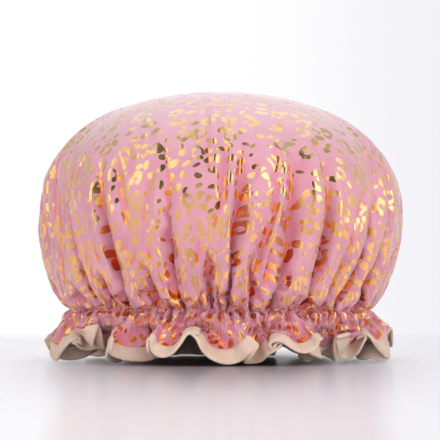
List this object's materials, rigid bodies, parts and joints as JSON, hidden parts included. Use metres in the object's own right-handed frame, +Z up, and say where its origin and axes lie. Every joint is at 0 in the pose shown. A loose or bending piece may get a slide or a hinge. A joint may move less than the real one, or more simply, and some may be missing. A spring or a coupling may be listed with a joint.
{
  "type": "shower cap",
  "caption": "Puffed shower cap of foil printed satin with a film lining, gathered on an elastic band above a bound frill; the soft crown can be pressed in.",
  "frame": {"origin": "centre of the cap's box, on the table that the hem stands on", "axes": "+Z up through the crown, -Y towards the front that the picture shows, +X to the right of that front"},
  "size_m": [0.2572, 0.2564, 0.1875],
  "materials": {
    "satin": "satin",
    "lining": "frosted",
    "elastic": "matte",
    "tape": "matte",
    "pink_thread": "matte",
    "tape_thread": "matte"
  },
  "bodies": {
    "band": {"satin_wall": "satin", "satin_frill": "satin", "lining_skirt": "lining", "elastic_band": "elastic", "elastic_splice_thread": "elastic", "channel_upper_needle_thread": "pink_thread", "channel_upper_bobbin_thread": "pink_thread", "channel_lower_needle_thread": "pink_thread", "channel_lower_bobbin_thread": "pink_thread", "hem_binding": "tape", "hem_needle_thread": "tape_thread", "hem_bobbin_thread": "tape_thread"},
    "crown": {"satin_crown": "satin", "lining_crown": "lining"}
  },
  "joints": [
    {"name": "crown_press", "type": "slide", "parent": "band", "child": "crown", "axis": [0, 0, -1], "range_m": [0, 0.06]}
  ]
}
